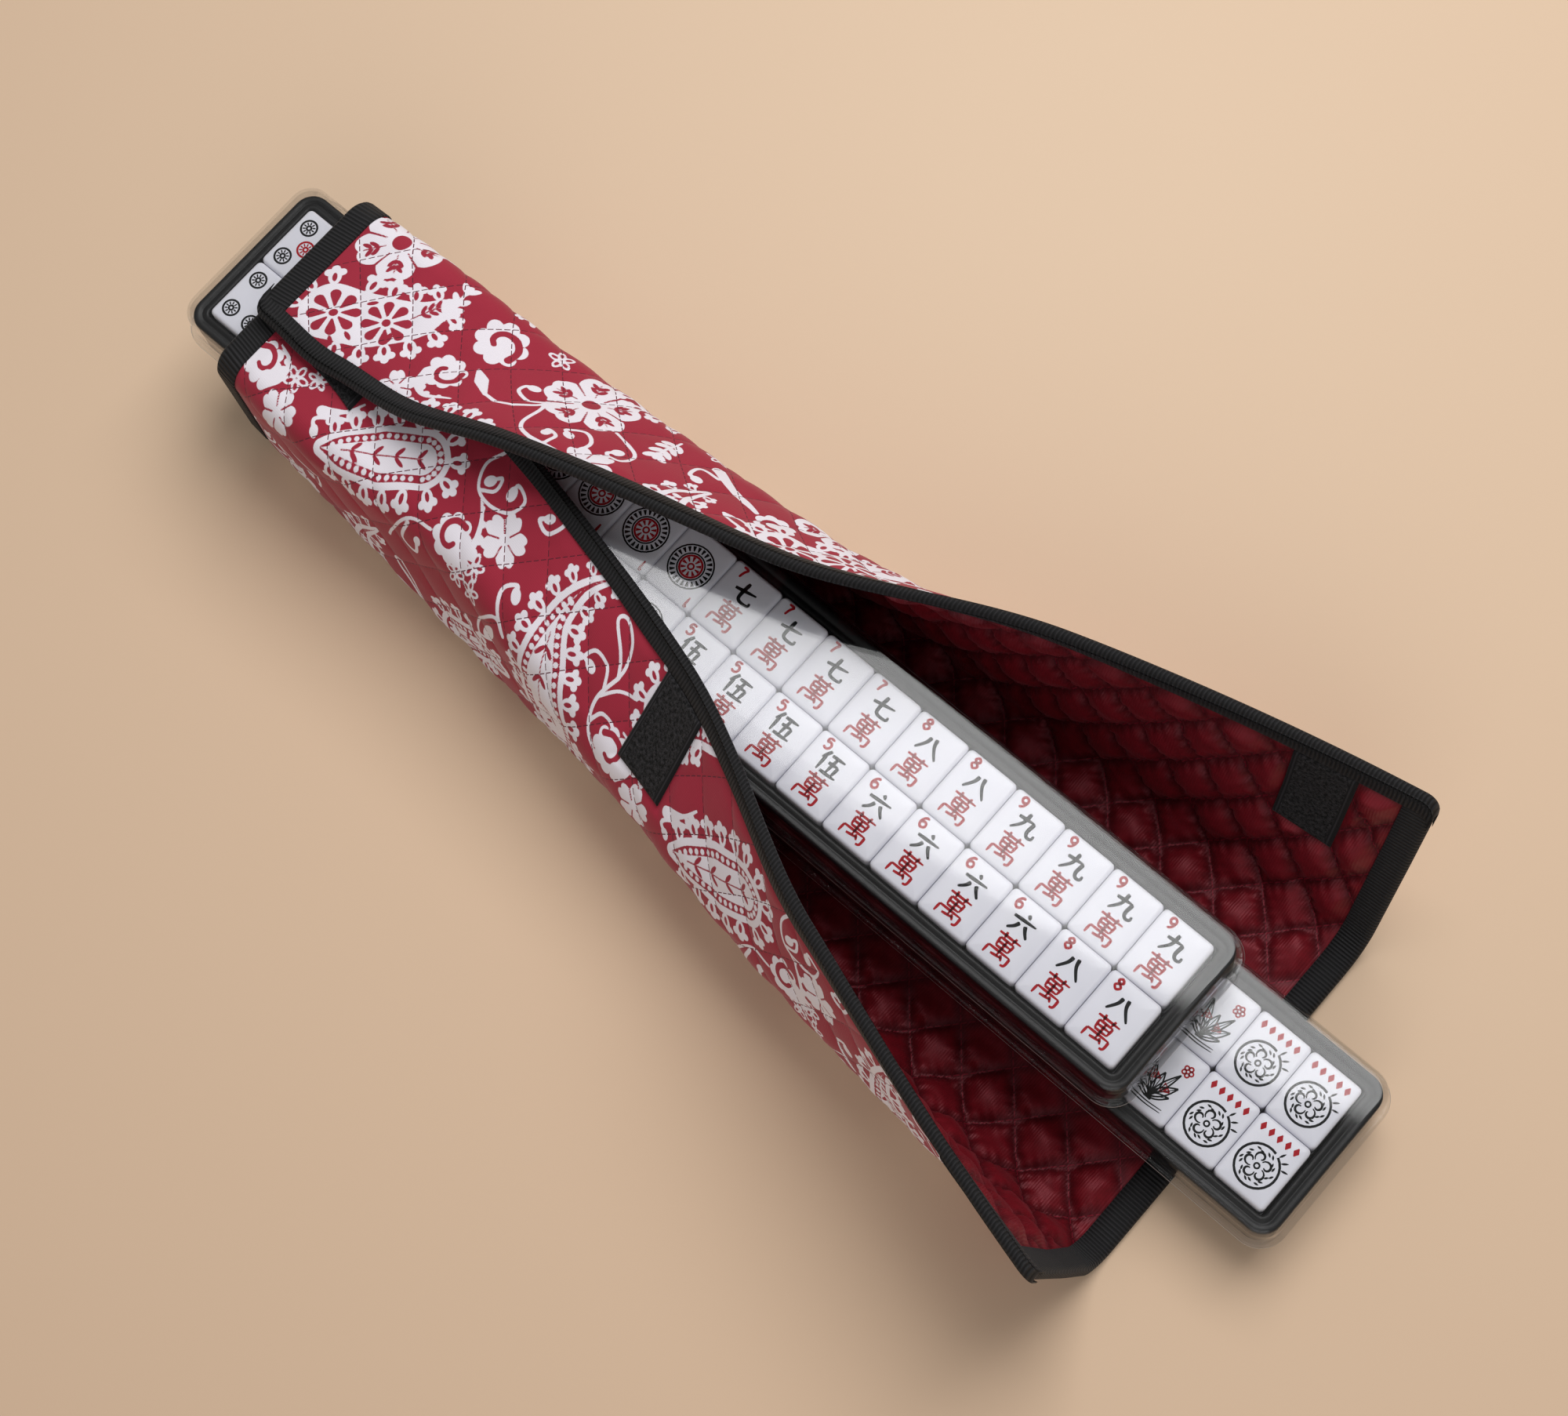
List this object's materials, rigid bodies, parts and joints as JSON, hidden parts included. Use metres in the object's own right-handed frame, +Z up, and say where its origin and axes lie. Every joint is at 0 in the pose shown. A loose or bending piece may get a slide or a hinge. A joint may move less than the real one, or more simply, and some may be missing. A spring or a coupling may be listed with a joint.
{
  "type": "mahjong case",
  "caption": "Quilted cloth mahjong case, open at both ends, its overlapping flaps held by hook-and-loop patches over stacked clear trays of tiles.",
  "frame": {"origin": "on the sleeve's underside at the middle of its length, midway between the hinge lines at its rear", "axes": "+X along the trays towards the open front end, +Y towards the top flap, +Z up"},
  "size_m": [0.5342, 0.2203, 0.097],
  "materials": {
    "printed_cotton": "quilted printed cotton, crimson with a white paisley print",
    "lining_satin": "quilted satin lining, dark wine",
    "batting": "polyester wadding, hidden inside the quilt",
    "binding_tape": "black ribbed grosgrain tape",
    "hook_tape": "black nylon hook tape",
    "loop_tape": "black nylon loop tape",
    "clear_plastic": "clear formed plastic",
    "black_plastic": "black formed plastic, fine texture",
    "tile_resin": "polished white resin with engraved, painted marks"
  },
  "bodies": {
    "sleeve_floor": {"floor_cotton": "printed_cotton", "floor_batting": "batting", "floor_lining": "lining_satin", "floor_binding_rear": "binding_tape", "floor_binding_front": "binding_tape"},
    "top_flap": {"top_flap_cotton": "printed_cotton", "top_flap_batting": "batting", "top_flap_lining": "lining_satin", "top_flap_binding_rear": "binding_tape", "top_flap_binding_front": "binding_tape", "top_flap_binding_edge": "binding_tape", "loop_patches": "loop_tape"},
    "under_flap": {"under_flap_cotton": "printed_cotton", "under_flap_batting": "batting", "under_flap_lining": "lining_satin", "under_flap_binding_rear": "binding_tape", "under_flap_binding_front": "binding_tape", "under_flap_binding_edge": "binding_tape", "hook_patches": "hook_tape"},
    "lower_tray": {"lower_tray_clear_base": "clear_plastic", "lower_tray_black_insert": "black_plastic", "lower_tray_clear_lid": "clear_plastic", "lower_tray_tiles_lower_layer": "tile_resin", "lower_tray_tiles_upper_layer": "tile_resin"},
    "upper_tray": {"upper_tray_clear_base": "clear_plastic", "upper_tray_black_insert": "black_plastic", "upper_tray_clear_lid": "clear_plastic", "upper_tray_tiles_lower_layer": "tile_resin", "upper_tray_tiles_upper_layer": "tile_resin"}
  },
  "joints": [
    {"name": "lower_tray_slide", "type": "slide", "parent": "sleeve_floor", "child": "lower_tray", "axis": [1, 0, 0], "range_m": [-0.2, 0.4]},
    {"name": "upper_tray_slide", "type": "slide", "parent": "sleeve_floor", "child": "upper_tray", "axis": [1, 0, 0], "range_m": [-0.2, 0.4]},
    {"name": "top_flap_open", "type": "hinge", "parent": "sleeve_floor", "child": "top_flap", "pos_m": [-0.231, 0.0439, 0.012], "axis": [-0.9965, -0.083, 0], "range_deg": [0, 45]},
    {"name": "under_flap_open", "type": "hinge", "parent": "sleeve_floor", "child": "under_flap", "pos_m": [-0.231, -0.0439, 0.012], "axis": [0.9962, -0.0873, 0], "range_deg": [0, 18]}
  ],
  "couplings": [
    {"joint": "under_flap_open", "follows": "top_flap_open", "ratio": 0.4}
  ]
}
